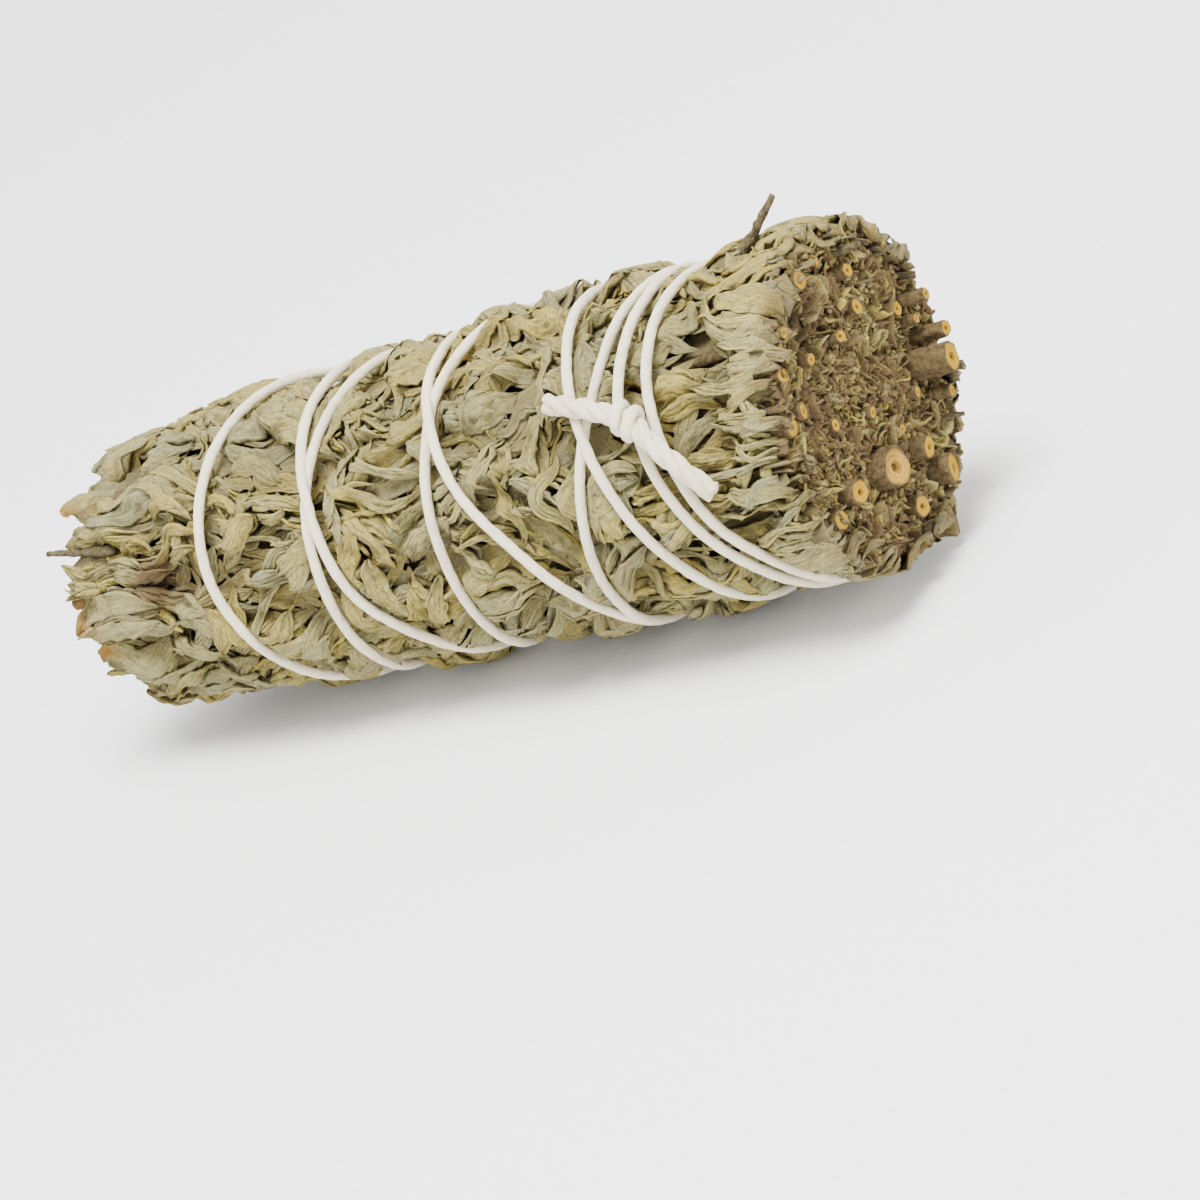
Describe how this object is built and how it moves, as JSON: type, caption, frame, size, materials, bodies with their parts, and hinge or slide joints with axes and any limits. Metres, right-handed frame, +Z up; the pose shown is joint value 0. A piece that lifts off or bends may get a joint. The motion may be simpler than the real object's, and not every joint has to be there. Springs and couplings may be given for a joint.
{
  "type": "sage bunch",
  "caption": "Roll of dried sage leaves, sawn off at the stem end and bound with criss-crossed cotton string; it lies on its side.",
  "frame": {"origin": "bottom centre of the bounding box, on the surface that the bunch lies on", "axes": "+X along the roll towards its sawn stem end, -X towards the leafy tips, +Z up, the knot on the -Y side"},
  "size_m": [0.1116, 0.0418, 0.0413],
  "materials": {
    "sage_leaf": "matte",
    "browned_leaf": "matte",
    "sage_wood": "matte",
    "tip_wood": "matte",
    "cotton_string": "matte"
  },
  "bodies": {
    "root": {"sage_leaves": "sage_leaf", "cut_leaf_ends": "browned_leaf", "cut_stem_01": "sage_wood", "cut_stem_02": "sage_wood", "cut_stem_03": "sage_wood", "cut_stem_04": "sage_wood", "cut_stem_05": "sage_wood", "cut_stem_06": "sage_wood", "cut_stem_07": "sage_wood", "cut_stem_08": "sage_wood", "cut_stem_09": "sage_wood", "cut_stem_10": "sage_wood", "cut_stem_11": "sage_wood", "cut_stem_12": "sage_wood", "cut_stem_13": "sage_wood", "cut_stem_14": "sage_wood", "cut_stem_15": "sage_wood", "cut_stem_16": "sage_wood", "cut_stem_17": "sage_wood", "cut_stem_18": "sage_wood", "cut_stem_19": "sage_wood", "cut_stem_20": "sage_wood", "cut_stem_21": "sage_wood", "cut_stem_22": "sage_wood", "cut_stem_23": "sage_wood", "cut_stem_24": "sage_wood", "cut_stem_25": "sage_wood", "cut_stem_26": "sage_wood", "cut_stem_27": "sage_wood", "tip_stem_1": "tip_wood", "tip_stem_2": "tip_wood", "tip_stem_3": "tip_wood", "tip_stem_4": "tip_wood", "tip_stem_5": "tip_wood", "tie_string": "cotton_string"}
  },
  "joints": []
}
